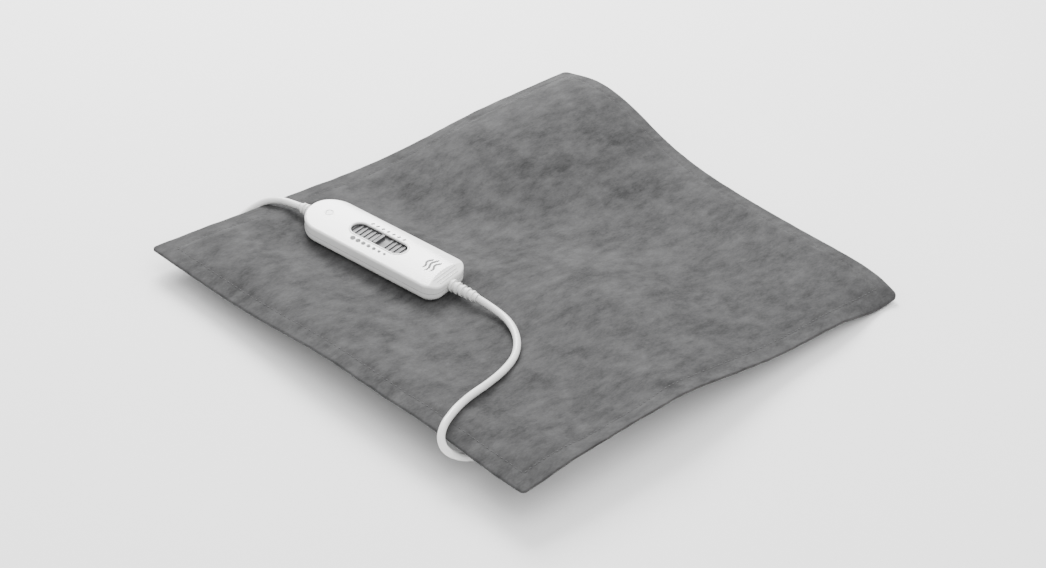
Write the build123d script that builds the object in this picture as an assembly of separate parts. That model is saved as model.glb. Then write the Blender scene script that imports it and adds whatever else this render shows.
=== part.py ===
"""Electric heating pad with an in-line slide control, lying in soft folds on a flat surface.

Millimetres, +Z up. The origin is on the surface below the middle of the pad.
X runs along the shorter side of the pad and Y along the longer side.
"""
from build123d import *
from math import cos, exp, pi, radians, sin, tan
import os

# ---------------------------------------------------------------- pad
pad_width = 367.0            # X, between the sewn edges
pad_length = 420.0           # Y, between the sewn edges
pad_skew_x = 2.4             # how far the corners lean out of square
pad_skew_y = 4.0
corner_radius = 11.0
cover_thickness = 1.2        # one layer of plush
seam_gap = 0.3               # between the covers at the sewn edge
loft_top = 3.8               # how far the filling lifts the top cover
loft_bottom = 3.3            # how far the filling drops the bottom cover
edge_roll = 14.0             # width over which the edge thins out
layer_gap = 0.15             # between a cover and its felt
felt_inset = 16.0            # from the sewn edge to the felt
surface_step = 8.0           # spacing of the points that shape each surface
surface_margin = 6.0         # how far each surface runs past the sewn edge

# Soft folds: place X, Y, spread and height of each rise or hollow
fold_level = 17.4
folds = (
    (-135.0, 225.0, 45.0, 18.5),     # lifted rear corner
    (-125.0, 125.0, 55.0, 18.0),     # crest that runs down from it
    (-115.0, -40.0, 35.0, -7.5),     # hollow behind the hand control
    (-75.0, -95.0, 45.0, 3.5),       # gentle rise below the hand control
    (5.0, -215.0, 50.0, 9.5),        # near edge, middle
    (100.0, -215.0, 40.0, 8.0),      # near edge, where the lead goes over
    (50.0, 5.0, 60.0, 26.0),         # low ridge across the middle
    (30.0, 40.0, 100.0, -26.5),      # broad hollow around it
    (20.0, 105.0, 50.0, 3.0),        # flat bottom of that hollow
    (-122.0, 58.0, 26.0, 5.0),       # small rise over the plug
    (265.0, -85.0, 85.0, 32.0),      # right edge, lifted
    (220.0, 190.0, 30.0, -29.0),     # right corner, touching down
)

# ---------------------------------------------------------------- heating element
wire_width = 2.2
wire_thickness = 1.5
wire_gap = 0.15
wire_inset = 30.0
wire_rows = 14
cutout_length = 13.0         # thermal cut-out capsule
cutout_width = 6.0
cutout_height = 3.4
cutout_clearance = 0.5
lower_felt_drop = 2.2        # from the middle layer down to the lower felt

# ---------------------------------------------------------------- hand control
control_x = -78.4
control_y = -87.8
control_yaw = 7.5            # turn about Z
control_tilt = 5.0           # lean towards the near edge
control_seam = 12.3          # height of the sewn layer below the control
control_patch = 28.0         # how far the level patch fades out past the control
control_gap = 0.8            # under the middle of the control; its ends are nearer to the pad
control_length = 133.0
control_width = 42.0
control_height = 16.0
control_split = 7.5          # height of the parting line
control_left_radius = 20.0
control_right_radius = 11.0
control_wall = 3.2
control_floor = 1.8
control_roof = 3.2
control_crown = 110.0        # radius of the crowned top
control_top_round = 3.5
control_bottom_round = 5.0
control_bevel_run = 9.0      # sloping face at the right end
control_bevel_drop = 3.8
window_x = -1.5
window_length = 50.0
window_width = 14.5
window_roof = 1.8            # wall left above the slider
slider_travel = 15.0         # each way from the middle of the seven positions
slider_plate = 0.9
rib_pitch = 4.0
rib_width = 1.5
rib_height = 0.8
grip_width = 2.4
grip_height = 2.4
carrier_length = 14.0
carrier_width = 11.0
board_length = 84.0
board_width = 21.0
board_thickness = 1.6
board_height = 5.8
wiper_thickness = 0.5
wiper_gap = 0.4              # above the board
terminal_length = 7.2
terminal_left = 50.7         # from the middle of the control to the middle of each block
terminal_right = 46.2
lens_x = -49.5
lens_diameter = 5.0
lens_clearance = 0.1
screw_diameter = 2.8
screw_head = 5.4
screw_head_height = 2.0
screw_clearance = 0.15
boss_diameter = 7.6
boss_y = 14.2
boss_x = (-36.0, 41.0)

# ---------------------------------------------------------------- cords
cord_diameter = 5.4
relief_diameter = 8.6
relief_ring = 1.5
relief_flange = 10.8
relief_collar = 2.0
relief_clearance = 0.3
pad_relief_length = 24.0
mains_relief_length = 11.0
core_diameter = 1.5
core_spacing = 2.4
lead_gap = 0.4               # between a strain relief and the jacket of the lead

# ---------------------------------------------------------------- inlet and coupling
inlet_x = 130.0
inlet_y = -108.0
inlet_seam = 21.5            # height of the sewn layer above the inlet
inlet_patch = 30.0           # how far the level patch fades out past the inlet
inlet_length = 32.0
inlet_width = 38.0
inlet_height = 13.0
inlet_wall = 2.6
inlet_mouth = 15.0
inlet_plate = 1.2
rivet_diameter = 3.0
rivet_clearance = 0.15
rivet_grip = 2.0             # how deep a rivet reaches into the roof of the inlet
pin_diameter = 2.4
pin_spacing = 8.0
pin_length = 10.0
coupling_clearance = 0.35
coupling_grip = 21.0
coupling_relief = 15.0
latch_length = 9.0
latch_width = 5.0
latch_travel = 1.2
latch_depth = 6.0
latch_clearance = 0.3
latch_stand = 1.6

# ---------------------------------------------------------------- coil and plug
coil_x = -140.0
coil_y = 165.0
coil_inner = 49.0
coil_outer = 71.0
coil_height = 16.0
tie_width = 9.0
tie_thickness = 1.2
plug_x = -127.0
plug_y = 74.5
plug_length = 35.0
plug_width = 35.6
plug_height = 13.7
plug_neck = 6.0
plug_pin_diameter = 4.0
plug_pin_length = 19.0
plug_pin_spacing = 18.6
floor_gap = 0.2

# Lead from the control over the near edge and back under it, to the coupling
pad_lead_route = (
    (28.0, -74.6, 24.4),
    (47.0, -78.5, 25.1),
    (64.5, -89.0, 25.3),
    (78.0, -105.0, 25.9),
    (86.5, -125.0, 27.6),
    (92.0, -145.5, 29.4),
    (96.0, -165.5, 31.6),
    (101.5, -183.0, 33.9),
    (106.0, -195.0, 34.2),
    (110.0, -205.0, 33.0),
    (114.5, -211.6, 28.4),
    (120.0, -212.4, 22.8),
    (125.5, -207.2, 18.6),
    (129.0, -197.5, 14.6),
    (130.4, -184.0, 12.0),
)
# Mains lead from the control over the left edge, round behind it and back under the pad
mains_lead_route = (
    (-166.0, -99.4, 24.0),
    (-176.3, -102.2, 22.6),
    (-184.4, -107.4, 20.0),
    (-190.0, -115.0, 14.6),
    (-191.8, -125.5, 8.8),
    (-191.5, -140.0, 4.2),
    (-189.5, -165.0, 2.9),
    (-171.9, -182.6, 2.9),
    (-147.0, -182.6, 2.9),
    (-129.4, -165.0, 2.9),
    (-131.0, -140.0, 2.9),
    (-139.0, -116.0, 2.9),
    (-149.5, -91.0, 2.9),
    (-157.0, -62.0, 2.9),
    (-159.5, -28.0, 2.9),
    (-159.0, 12.0, 3.2),
    (-160.5, 58.0, 4.2),
    (-165.5, 100.0, 5.8),
    (-169.5, 135.0, 7.0),
)

# Free end from the coil to the plug
plug_tail_route = (
    (-110.5, 145.0, 7.1),
    (-116.5, 128.0, 7.1),
    (-124.0, 114.0, 7.0),
    (-127.0, 104.5, 7.0),
)


def plan_point(u, v, inset=0.0):
    """Plan position for u, v from -1 to 1 across the pad, with the sewn edge drawn in by inset."""
    x = u * (pad_width / 2 - inset) - pad_skew_x * u * v
    y = v * (pad_length / 2 - inset) - pad_skew_y * u * v
    return x, y


def level_patch(x, y, centre, half_size, turn=0.0):
    """Weight that is 1 on a level patch of the pad and fades outside it, and the distance across it."""
    dx, dy = x - centre[0], y - centre[1]
    along = dx * cos(radians(turn)) + dy * sin(radians(turn))
    across = -dx * sin(radians(turn)) + dy * cos(radians(turn))
    weight = exp(-((along / half_size[0]) ** 4 + (across / half_size[1]) ** 4))
    return weight, across


def seam_height(x, y):
    """Height of the sewn middle layer."""
    z = fold_level
    for fold_x, fold_y, spread, height in folds:
        z += height * exp(-((x - fold_x) ** 2 + (y - fold_y) ** 2) / (2 * spread ** 2))
    half = (control_length / 2 + control_patch, control_width / 2 + control_patch)
    weight, across = level_patch(x, y, (control_x, control_y), half, control_yaw)
    z += weight * (control_seam + tan(radians(control_tilt)) * across - z)
    half = (inlet_width / 2 + inlet_patch, inlet_length / 2 + inlet_patch)
    weight, across = level_patch(x, y, (inlet_x, inlet_y), half)
    return z + weight * (inlet_seam - z)


def fullness(u, v):
    """0 at the sewn edge, 1 where the filling has its whole thickness."""
    share = 1.0
    for part, size in ((u, pad_width), (v, pad_length)):
        inside = max(0.0, (1 - abs(part)) * size / 2)
        share *= 1 - exp(-((inside / edge_roll) ** 2))
    return share


def pad_surface(lift, puff):
    """Face over the whole pad: the sewn layer moved by lift, and by puff where the pad is full."""
    columns = round(pad_width / surface_step)
    rows = round(pad_length / surface_step)
    reach_u = 1 + 2 * surface_margin / pad_width
    reach_v = 1 + 2 * surface_margin / pad_length
    points = []
    for i in range(columns + 1):
        u = reach_u * (2 * i / columns - 1)
        line = []
        for j in range(rows + 1):
            v = reach_v * (2 * j / rows - 1)
            x, y = plan_point(u, v)
            line.append(Vector(x, y, seam_height(x, y) + lift + puff * fullness(u, v)))
        points.append(line)
    smooth = (1.0, 1.0, 1.0)
    return Face.make_surface_from_array_of_points(points, tol=0.05, smoothing=smooth, max_deg=5)


def pad_outline(inset=0.0):
    """Prism over the pad's outline, drawn in by inset."""
    corners = [plan_point(u, v, inset) for u, v in ((-1, -1), (1, -1), (1, 1), (-1, 1))]
    face = make_face(Polyline(*corners, close=True))
    face = fillet(face.vertices(), max(corner_radius - inset / 2, 2.0))
    return extrude(Pos(0, 0, -20) * face, 120)


def below(surface, depth=60.0):
    """Solid from a pad surface straight down."""
    return extrude(surface, amount=depth, dir=(0, 0, -1))


def surface_z(x, y, lift, puff):
    """Height of a pad surface at a place in the full part of the pad."""
    return seam_height(x, y) + lift + puff * fullness(2 * x / pad_width, 2 * y / pad_length)


half_gap = seam_gap / 2
top_lift = half_gap + cover_thickness
wire_half = wire_thickness / 2 + wire_gap
control_base = surface_z(control_x, control_y, top_lift, loft_top) + control_gap
inlet_roof = surface_z(inlet_x, inlet_y, -top_lift, -loft_bottom)
control_spot = Location((control_x, control_y, control_base), (0, 0, control_yaw))
control_place = control_spot * Rotation(control_tilt, 0, 0)
inlet_plate_z = inlet_roof + cover_thickness + layer_gap
cutout_places = ((-60.0, 120.0), (80.0, -30.0))


def box(x0, x1, y0, y1, z0, z1):
    """Box between two opposite corners."""
    middle = ((x0 + x1) / 2, (y0 + y1) / 2, (z0 + z1) / 2)
    return Pos(*middle) * Box(abs(x1 - x0), abs(y1 - y0), abs(z1 - z0))


def rod_z(x, y, z0, z1, diameter):
    return Pos(x, y, (z0 + z1) / 2) * Cylinder(diameter / 2, z1 - z0)


def rod_x(x0, x1, y, z, diameter):
    return Pos((x0 + x1) / 2, y, z) * Rotation(0, 90, 0) * Cylinder(diameter / 2, abs(x1 - x0))


def rod_y(x, y0, y1, z, diameter):
    return Pos(x, (y0 + y1) / 2, z) * Rotation(90, 0, 0) * Cylinder(diameter / 2, y1 - y0)


# ---------------------------------------------------------------- pad pieces
def rivet_places():
    """Plan places of the four rivets of the inlet."""
    step_x = inlet_width / 2 - rivet_diameter - 0.6
    step_y = inlet_length / 2 - rivet_diameter - 0.6
    return [(inlet_x + sx * step_x, inlet_y + sy * step_y) for sx in (-1, 1) for sy in (0, 1)]


def rivet_cutter(z0, z1):
    cutter = []
    for x, y in rivet_places():
        cutter.append(rod_z(x, y, z0, z1, rivet_diameter + 2 * rivet_clearance))
    return cutter


def top_cover():
    """Plush top: a skin of one thickness that meets the bottom cover at the sewn edge."""
    surface = pad_surface(top_lift, loft_top)
    return below(surface, cover_thickness) & pad_outline()


def bottom_cover():
    """Bottom cover, pierced where the rivets of the inlet pass through it."""
    surface = pad_surface(-half_gap, -loft_bottom)
    cover = below(surface, cover_thickness) & pad_outline()
    return cover - rivet_cutter(inlet_roof - 5, inlet_roof + 5)


def cutout_pockets():
    grow = 2 * cutout_clearance
    pockets = []
    for x, y in cutout_places:
        pocket = Box(cutout_length + grow, cutout_width + grow, cutout_height + grow)
        pockets.append(Pos(x, y, seam_height(x, y)) * pocket)
    return pockets


def upper_felt():
    top = below(pad_surface(half_gap - layer_gap, loft_top))
    bottom = below(pad_surface(wire_half, 0.0))
    felt = (top - bottom) & pad_outline(felt_inset)
    return felt - cutout_pockets()


def lower_felt():
    """Lower felt, open where the thermal cut-outs and the plate that backs the inlet sit."""
    top = below(pad_surface(-lower_felt_drop, 0.0))
    bottom = below(pad_surface(layer_gap - half_gap, -loft_bottom))
    felt = (top - bottom) & pad_outline(felt_inset)
    half_x = inlet_width / 2 + layer_gap
    half_y = inlet_length / 2 + layer_gap
    openings = [Pos(inlet_x, inlet_y) * Box(2 * half_x, 2 * half_y, 120)]
    grow = 2 * cutout_clearance
    for x, y in cutout_places:
        openings.append(Pos(x, y) * Box(cutout_length + grow, cutout_width + grow, 120))
    return felt - openings


def heating_wire():
    """Flat heating element laid to and fro across the pad, between the two felts."""
    half_x = pad_width / 2 - wire_inset
    pitch = (pad_length - 2 * wire_inset) / (wire_rows - 1)
    straight = half_x - pitch / 2
    meander = []
    for row in range(wire_rows):
        y = -pad_length / 2 + wire_inset + row * pitch
        meander.append(Pos(0, y) * Rectangle(2 * straight, wire_width))
        if row < wire_rows - 1:
            side = 1 if row % 2 == 0 else -1
            ring = Circle(pitch / 2 + wire_width / 2) - Circle(pitch / 2 - wire_width / 2)
            half = ring & (Pos(side * pitch, 0) * Rectangle(2 * pitch, 3 * pitch))
            meander.append(Pos(side * straight, y + pitch / 2) * half)
    flat = meander[0]
    for piece in meander[1:]:
        flat += piece
    prism = extrude(Pos(0, 0, -20) * flat, 100)
    layer = below(pad_surface(wire_thickness / 2, 0.0), wire_thickness)
    return (layer & prism) - cutout_pockets()


def thermal_cutouts():
    capsules = []
    for x, y in cutout_places:
        capsule = Box(cutout_length, cutout_width, cutout_height)
        capsule = fillet(capsule.edges().filter_by(Axis.Z), cutout_width / 4)
        capsules.append(Pos(x, y, seam_height(x, y)) * capsule)
    return capsules


# ---------------------------------------------------------------- inlet below the pad
inlet_top = inlet_roof - layer_gap
inlet_bottom = inlet_top - inlet_height
mouth_half = inlet_width / 2 - inlet_wall
mouth_low = inlet_bottom + inlet_wall
mouth_high = inlet_top - inlet_wall
mouth_face = inlet_y - inlet_length / 2
mouth_back = mouth_face + inlet_mouth
pin_z = (mouth_low + mouth_high) / 2
pin_columns = (-pin_spacing, 0.0, pin_spacing)


def inlet_body():
    """Moulded inlet under the pad, open towards the near edge."""
    half = inlet_width / 2
    shape = box(-half, half, -inlet_length / 2, inlet_length / 2, 0, inlet_height)
    shape = fillet(shape.edges().filter_by(Axis.Z), 4.0)
    shape = fillet(shape.faces().sort_by(Axis.Z)[0].edges(), 1.2)
    shape = Pos(inlet_x, inlet_y, inlet_bottom) * shape
    left, right = inlet_x - mouth_half, inlet_x + mouth_half
    shape -= box(left, right, mouth_face - 1, mouth_back, mouth_low, mouth_high)
    for column in pin_columns:
        shape -= rod_y(inlet_x + column, mouth_back - 1, mouth_back + 8, pin_z, pin_diameter)
    return shape - rivet_cutter(inlet_top - rivet_grip - 0.2, inlet_top + 1)


def inlet_pins():
    pins = []
    for column in pin_columns:
        pins.append(rod_y(inlet_x + column, mouth_back - pin_length, mouth_back + 8, pin_z, pin_diameter))
    return pins


def inlet_backing():
    """Plate inside the pad that spreads the pull of the inlet over the cover."""
    half_x = inlet_width / 2
    half_y = inlet_length / 2
    z0 = inlet_plate_z
    plate = box(inlet_x - half_x, inlet_x + half_x, inlet_y - half_y, inlet_y + half_y, z0, z0 + inlet_plate)
    plate = fillet(plate.edges().filter_by(Axis.Z), 4.0)
    return plate - rivet_cutter(z0 - 1, z0 + inlet_plate + 1)


def inlet_rivets():
    rivets = []
    head = rivet_diameter / 4
    top = inlet_plate_z + inlet_plate
    for x, y in rivet_places():
        shank = rod_z(x, y, inlet_top - rivet_grip, top + layer_gap, rivet_diameter)
        rivets.append(shank + rod_z(x, y, top + layer_gap, top + layer_gap + head, 1.7 * rivet_diameter))
    return rivets


# ---------------------------------------------------------------- coupling on the pad lead
nose_half = mouth_half - coupling_clearance
nose_low = mouth_low + coupling_clearance
nose_high = mouth_high - coupling_clearance
nose_tip = mouth_back - coupling_clearance
grip_front = mouth_face - coupling_clearance
grip_back = grip_front - coupling_grip
latch_y = grip_front - coupling_grip / 2
coupling_relief_end = grip_back - coupling_relief


def latch_pocket(grow):
    """Box that the latch button fills, with grow of clearance round it."""
    x0 = inlet_x - inlet_width / 2 - latch_stand
    x1 = inlet_x - inlet_width / 2 + latch_depth + grow
    half_y = latch_length / 2 + grow
    half_z = latch_width / 2 + grow
    return box(x0, x1, latch_y - half_y, latch_y + half_y, pin_z - half_z, pin_z + half_z)


def coupling_body():
    """Coupling: a nose inside the inlet and a grip outside it."""
    half = inlet_width / 2
    grip = box(-half, half, grip_back, grip_front, 0, inlet_height)
    grip = fillet(grip.edges().filter_by(Axis.Z), 4.0)
    grip = Pos(inlet_x, 0, inlet_bottom) * fillet(grip.faces().sort_by(Axis.Z)[0].edges(), 1.2)
    nose = box(inlet_x - nose_half, inlet_x + nose_half, grip_front - 1, nose_tip, nose_low, nose_high)
    shape = grip + nose
    for column in pin_columns:
        bore = rod_y(inlet_x + column, mouth_back - pin_length - 1, nose_tip + 1, pin_z, pin_diameter + 1.6)
        shape -= bore
    return shape - latch_pocket(latch_clearance + latch_travel)


def coupling_contacts():
    """Spring sleeves that grip the inlet pins."""
    sleeves = []
    for column in pin_columns:
        x = inlet_x + column
        outer = rod_y(x, mouth_back - pin_length - 0.6, nose_tip - 0.3, pin_z, pin_diameter + 1.2)
        sleeves.append(outer - rod_y(x, mouth_back - pin_length - 1, nose_tip, pin_z, pin_diameter + 0.2))
    return sleeves


def coupling_latch():
    """Side button that frees the coupling."""
    button = latch_pocket(0.0)
    return fillet(button.edges().filter_by(Axis.X), 1.2)


def relief(length, tip, rings):
    """Ribbed strain relief along +X from 0, with a flange inside the wall at negative X."""
    neck = relief_diameter / 2
    shape = rod_x(-control_wall - relief_collar, -control_wall - 0.1, 0, 0, relief_flange)
    shape += rod_x(-control_wall - 0.2, 0.4, 0, 0, relief_diameter)
    core = Rotation(0, 90, 0) * Cone(neck - 0.6, tip / 2, length)
    shape += Pos(length / 2, 0, 0) * core
    pitch = (length - 1.5) / rings
    for ring in range(rings):
        x0 = 1.0 + ring * pitch
        shrink = (neck - tip / 2) * ring / rings
        shape += rod_x(x0, x0 + relief_ring, 0, 0, relief_diameter + 1.0 - 1.6 * shrink)
    return shape


def coupling_strain_relief():
    """Ribbed sleeve behind the coupling."""
    sleeve = rod_x(0, coupling_relief, 0, 0, cord_diameter + 1.4)
    for ring in range(4):
        x0 = 1.5 + ring * (coupling_relief - 2.0) / 4
        sleeve += rod_x(x0, x0 + relief_ring, 0, 0, relief_diameter - 0.3 * ring)
    return Pos(inlet_x, grip_back, pin_z) * Rotation(0, 0, -90) * sleeve


# ---------------------------------------------------------------- hand control
half_long = control_length / 2
half_wide = control_width / 2
cavity_top = control_height - control_roof
slider_top = control_height - window_roof - 0.2
slider_z = slider_top - rib_height - slider_plate
board_top = board_height + board_thickness
window_half = window_width / 2


def control_outline(inset=0.0):
    """Plan of the hand control: a wide round left end and tighter corners at the right end."""
    plan = Rectangle(control_length - 2 * inset, control_width - 2 * inset)
    plan = fillet(plan.vertices().sort_by(Axis.X)[:2], control_left_radius - inset)
    return fillet(plan.vertices().sort_by(Axis.X)[-2:], control_right_radius - inset)


def end_holes():
    """Round openings in both end walls for the strain reliefs, wider inside for their flanges."""
    hole = relief_diameter + relief_clearance
    pocket = relief_flange + relief_clearance
    inner = half_long - control_wall
    reach = inner - relief_collar - relief_clearance
    holes = []
    for side in (-1, 1):
        holes.append(rod_x(side * reach, side * (half_long + 2), 0, control_split, hole))
        holes.append(rod_x(side * reach, side * inner, 0, control_split, pocket))
    return holes


def screw_axes():
    return [(x, side * boss_y) for x in boss_x for side in (-1, 1)]


def control_bottom_shell():
    shell = extrude(control_outline(), control_split)
    shell = fillet(shell.faces().sort_by(Axis.Z)[0].edges(), control_bottom_round)
    cavity = extrude(Pos(0, 0, control_floor) * control_outline(control_wall), control_split)
    shell -= cavity
    for x, y in screw_axes():
        boss = rod_z(x, y, control_floor - 0.5, control_split, boss_diameter)
        shell += boss
    for x in (-board_length / 2 + 8, board_length / 2 - 8):
        shell += rod_z(x, 0, control_floor - 0.5, board_height, 5.0)
    for x, y in screw_axes():
        shell -= rod_z(x, y, -1, control_split + 1, screw_diameter + 2 * screw_clearance)
        shell -= rod_z(x, y, -1, screw_head_height + 0.6, screw_head + 2 * screw_clearance)
    return shell - end_holes()


def control_top_shell():
    shell = extrude(Pos(0, 0, control_split) * control_outline(), control_height - control_split)
    crown = Pos(0, 0, control_height - control_crown) * Rotation(0, 90, 0)
    shell &= crown * Cylinder(control_crown, control_length + 20)
    slope = Plane.XZ * make_face(Polyline(
        (half_long - control_bevel_run, control_height + 1),
        (half_long - control_bevel_run, control_height),
        (half_long, control_height - control_bevel_drop),
        (half_long + 5, control_height - control_bevel_drop),
        (half_long + 5, control_height + 1),
        close=True,
    ))
    shell -= extrude(slope, control_width, both=True)
    rim = [edge for edge in shell.edges() if edge.bounding_box().min.Z > control_split + 1]
    shell = fillet(rim, control_top_round / 2)
    depth = cavity_top - control_split
    cavity = extrude(Pos(0, 0, control_split - 1) * control_outline(control_wall), depth + 1)
    end_low = control_height - 5.5
    end_x = half_long - control_bevel_run + 1
    end_cut = box(end_x, half_long, -half_wide, half_wide, end_low, control_height)
    shell -= cavity - end_cut
    channel_half = window_half + 2.2
    channel_reach = window_length / 2 + 2 * slider_travel + 3.5
    channel_top = control_height - window_roof
    x0, x1 = window_x - channel_reach, window_x + channel_reach
    shell -= box(x0, x1, -channel_half, channel_half, cavity_top - 1, channel_top)
    window = Pos(window_x, 0, control_height - 4) * SlotOverall(window_length, window_width)
    shell -= extrude(window, 6)
    lens_hole = lens_diameter + 2 * lens_clearance
    shell -= rod_z(lens_x, 0, control_height - 3, control_height + 1, lens_hole)
    for x, y in screw_axes():
        boss = rod_z(x, y, control_split, cavity_top + 0.5, boss_diameter)
        shell += boss
    for x, y in screw_axes():
        shell -= rod_z(x, y, control_split - 1, cavity_top - 1.5, screw_diameter + 0.1)
    return shell - end_holes()


def slider_knob():
    """Ribbed strip that always fills the window, with a raised rib as its grip."""
    reach = window_length / 2 + slider_travel + 0.8
    half = window_half + 1.6
    plate = box(-reach, reach, -half, half, slider_z, slider_z + slider_plate)
    strip = fillet(plate.edges().filter_by(Axis.Z), 2.0)
    count = int(reach / rib_pitch)
    rib_half = window_half - 0.8
    grip_half = window_half - 1.4
    for step in range(-count, count + 1):
        if step in (0, 1):
            continue
        x = step * rib_pitch
        strip += box(x - rib_width / 2, x + rib_width / 2, -rib_half, rib_half, slider_z, slider_top)
    grip_top = slider_z + slider_plate + grip_height
    grip = box(-grip_width / 2, grip_width / 2, -grip_half, grip_half, slider_z, grip_top)
    strip += fillet(grip.edges().filter_by(Axis.Z), grip_width / 3)
    return Pos(window_x, 0, 0) * strip


def slider_carrier():
    """Block below the strip that carries the wipers over the board."""
    low = board_top + wiper_gap + wiper_thickness
    half_x, half_y = carrier_length / 2, carrier_width / 2
    block = box(-half_x, half_x, -half_y, half_y, low, slider_z)
    return Pos(window_x, 0, 0) * fillet(block.edges().filter_by(Axis.Z), 1.0)


def slider_wipers():
    """Two brass contact strips under the carrier."""
    low = board_top + wiper_gap
    strips = []
    for y in (-3.0, 3.0):
        strips.append(box(window_x - 6, window_x + 6, y - 1.1, y + 1.1, low, low + wiper_thickness))
    return strips


def contact_tracks():
    """Contact strips on the board under the wipers, one pad for each of the seven positions."""
    tracks = []
    step = slider_travel / 3
    for position in range(-3, 4):
        x = window_x + position * step
        tracks.append(box(x - 1.6, x + 1.6, 1.6, 4.6, board_top, board_top + 0.2))
    reach = slider_travel + 7
    tracks.append(box(window_x - reach, window_x + reach, -4.6, -1.6, board_top, board_top + 0.2))
    return tracks


def detent_spring():
    """Leaf spring beside the carrier, with a raised nose that it clicks over."""
    reach = slider_travel + carrier_length / 2
    y0 = carrier_width / 2 + 0.5
    leaf = box(window_x - reach, window_x + reach, y0, y0 + 0.4, board_top + 0.4, board_top + 3.4)
    for side in (-1, 1):
        x = window_x + side * (reach - 1.5)
        leaf += box(x - 1.5, x + 1.5, y0, y0 + 2.2, board_top, board_top + 0.8)
    return leaf


def circuit_board():
    half_x, half_y = board_length / 2, board_width / 2
    board = box(-half_x, half_x, -half_y, half_y, board_height, board_top)
    board = fillet(board.edges().filter_by(Axis.Z), 1.5)
    for x, y in screw_axes():
        board -= rod_z(x, y, board_height - 1, board_top + 1, boss_diameter + 0.6)
    return board


def power_switch():
    """Flat semiconductor switch with its tab."""
    body = box(27.5, 36.5, -5, 5, board_top, board_top + 3.4)
    return body + box(36.0, 38.5, -5, 5, board_top, board_top + 1.2)


def capacitor():
    body = box(-37, -26, -4, 4, board_top, board_top + 3.9)
    return fillet(body.edges().filter_by(Axis.Z), 1.0)


def fuse():
    return rod_y(-40.4, -8, 8, board_top + 1.7, 3.2)


def terminal_blocks():
    blocks = []
    half = terminal_length / 2
    for x in (-terminal_left, terminal_right):
        blocks.append(box(x - half, x + half, -5.5, 5.5, control_floor + 0.1, board_top + 1.6))
    return blocks


def lead_cores():
    """Insulated cores from the strain reliefs to the terminals."""
    cores = []
    inner = half_long - control_wall - relief_collar - 0.1
    clear = terminal_length / 2 + 0.1
    for y in (-core_spacing / 2, core_spacing / 2):
        cores.append(rod_x(terminal_right + clear, inner, y, control_split, core_diameter))
        cores.append(rod_x(-inner, -terminal_left - clear, y, control_split, core_diameter))
    return cores


def indicator_lens():
    """Small round light window at the left end."""
    low = control_height - window_roof + 0.05
    return rod_z(lens_x, 0, low, control_height - 0.05, lens_diameter)


def shell_screws():
    screws = []
    for x, y in screw_axes():
        head = rod_z(x, y, 0.4, 0.4 + screw_head_height, screw_head)
        screws.append(head + rod_z(x, y, 1.0, cavity_top - 2.0, screw_diameter))
    return screws


def relief_pad_side():
    sleeve = relief(pad_relief_length, cord_diameter + 0.8, 5)
    return Pos(half_long, 0, control_split) * sleeve


def relief_mains_side():
    sleeve = relief(mains_relief_length, cord_diameter + 0.8, 3)
    return Pos(-half_long, 0, control_split) * Rotation(0, 0, 180) * sleeve


# ---------------------------------------------------------------- cords
def control_point(x, y, z):
    """Place in the room of a point given in the control's own frame."""
    spot = control_place * Location((x, y, z))
    return tuple(spot.position)


def cord_tube(points, name):
    """Tube along straight runs joined by tangent arcs, and its length."""
    places = [Vector(*point) for point in points]
    runs = [b - a for a, b in zip(places, places[1:])]
    radii = []
    for before, after in zip(runs, runs[1:]):
        half_turn = radians(before.get_angle(after)) / 2
        radii.append(0.45 * min(before.length, after.length) / tan(half_turn))
    path = FilletPolyline(*places, radius=radii)
    section = Plane(origin=places[0], z_dir=runs[0]) * Circle(cord_diameter / 2)
    tube = sweep(section, path=path)
    ideal = pi * cord_diameter ** 2 / 4 * path.length
    print(name, "radii", [round(r) for r in radii], "length", round(path.length))
    print(name, "volume over section times length", round(tube.volume / ideal, 4))
    return tube


def pad_lead():
    start = control_point(half_long + pad_relief_length + lead_gap, 0, control_split)
    end = (inlet_x, coupling_relief_end, pin_z)
    before_end = (inlet_x, coupling_relief_end - 9.0, pin_z)
    return cord_tube([start, *pad_lead_route, before_end, end], "pad lead")


def mains_lead():
    start = control_point(-half_long - mains_relief_length - lead_gap, 0, control_split)
    coil_entry = (coil_x - (coil_outer + coil_inner) / 4, coil_y, coil_height / 2 + floor_gap)
    return cord_tube([start, *mains_lead_route, coil_entry], "mains lead")


def mains_coil():
    """Outer shape of the coiled rest of the mains lead."""
    ring = Cylinder(coil_outer / 2, coil_height) - Cylinder(coil_inner / 2, coil_height + 2)
    ring = fillet(ring.edges(), coil_height / 3)
    ring -= Pos(0, -coil_outer / 2 + 5.5, 0) * Box(tie_width + 0.4, 16, coil_height + 4)
    slim = Cylinder(coil_outer / 2 - 1.6, coil_height - 3) - Cylinder(coil_inner / 2 + 1.6, coil_height)
    slim &= Pos(0, -coil_outer / 2 + 5.5, 0) * Box(tie_width + 0.4, 16, coil_height + 4)
    return Pos(coil_x, coil_y, coil_height / 2 + floor_gap) * (ring + slim)


def coil_tie():
    """Twist tie round one side of the coil."""
    outer = Box(tie_width, (coil_outer - coil_inner) / 2 + 2 * tie_thickness - 3.0, coil_height - 0.4)
    outer = fillet(outer.edges().filter_by(Axis.X), 2.5)
    inner = Box(tie_width + 2, (coil_outer - coil_inner) / 2 - 2.0, coil_height - 2.6)
    middle = -(coil_outer + coil_inner) / 4
    return Pos(coil_x, coil_y + middle, coil_height / 2 + floor_gap) * (outer - inner)


def plug_tail():
    """Short free end between the coil and the plug."""
    mid_z = plug_height / 2 + floor_gap
    start = (coil_x + (coil_outer + coil_inner) / 4, coil_y, mid_z)
    neck_end = (plug_x, plug_y + plug_length / 2 + plug_neck, mid_z)
    points = [start, *plug_tail_route, neck_end]
    return cord_tube(points, "plug tail")


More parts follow.
